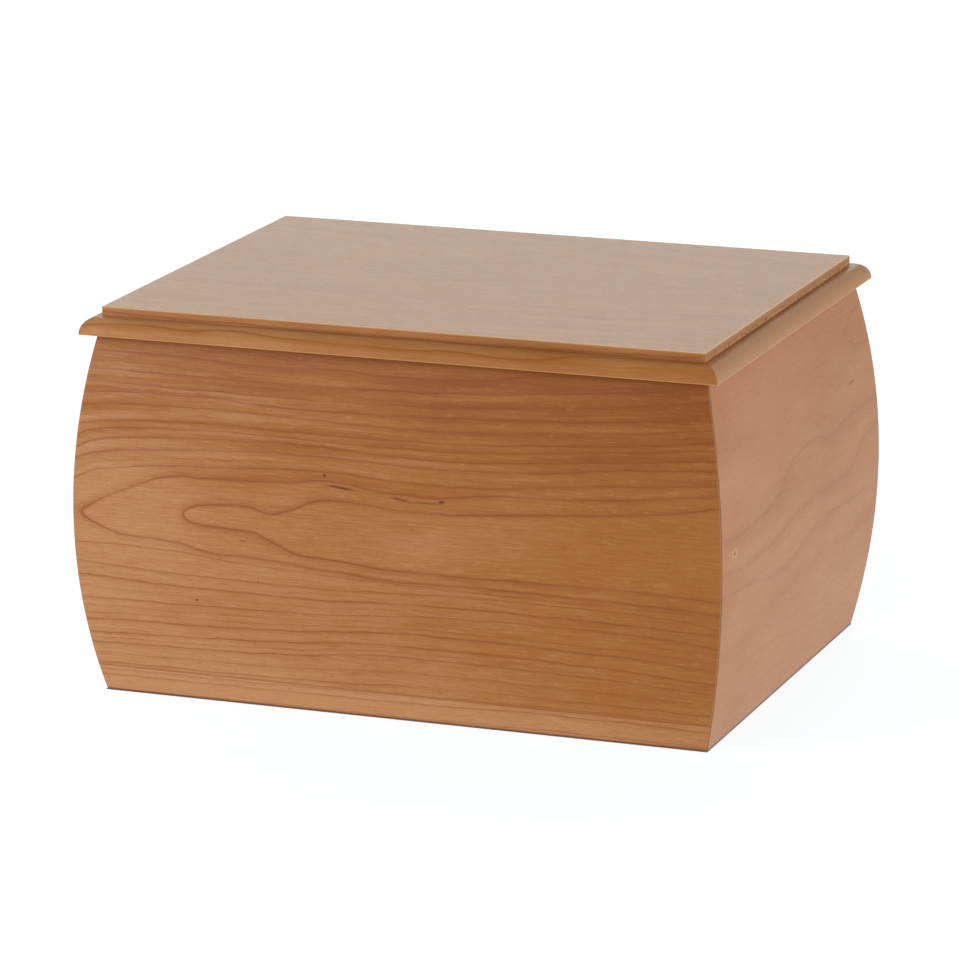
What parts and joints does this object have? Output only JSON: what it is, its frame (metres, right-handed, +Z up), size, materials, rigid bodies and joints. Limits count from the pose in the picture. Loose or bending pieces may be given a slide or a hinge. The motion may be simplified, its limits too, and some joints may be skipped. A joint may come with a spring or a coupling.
{
  "type": "cremation urn box",
  "caption": "Hollow wooden cremation urn box with bowed, mitred sides, a bottom panel let into its underside, and a lift-off lid with a round-over and a small square fillet.",
  "frame": {"origin": "centre of the foot, on the surface that the box stands on", "axes": "+X along the long front, to the right of someone facing it; +Y from the front to the back; +Z up through the lid"},
  "size_m": [0.254, 0.1924, 0.1468],
  "materials": {
    "long_boards": "satin",
    "end_boards": "satin",
    "bottom_panel": "satin",
    "lid": "satin"
  },
  "bodies": {
    "root": {"front_board": "long_boards", "back_board": "long_boards", "right_end_board": "end_boards", "left_end_board": "end_boards", "bottom_panel": "bottom_panel", "lid": "lid"}
  },
  "joints": []
}
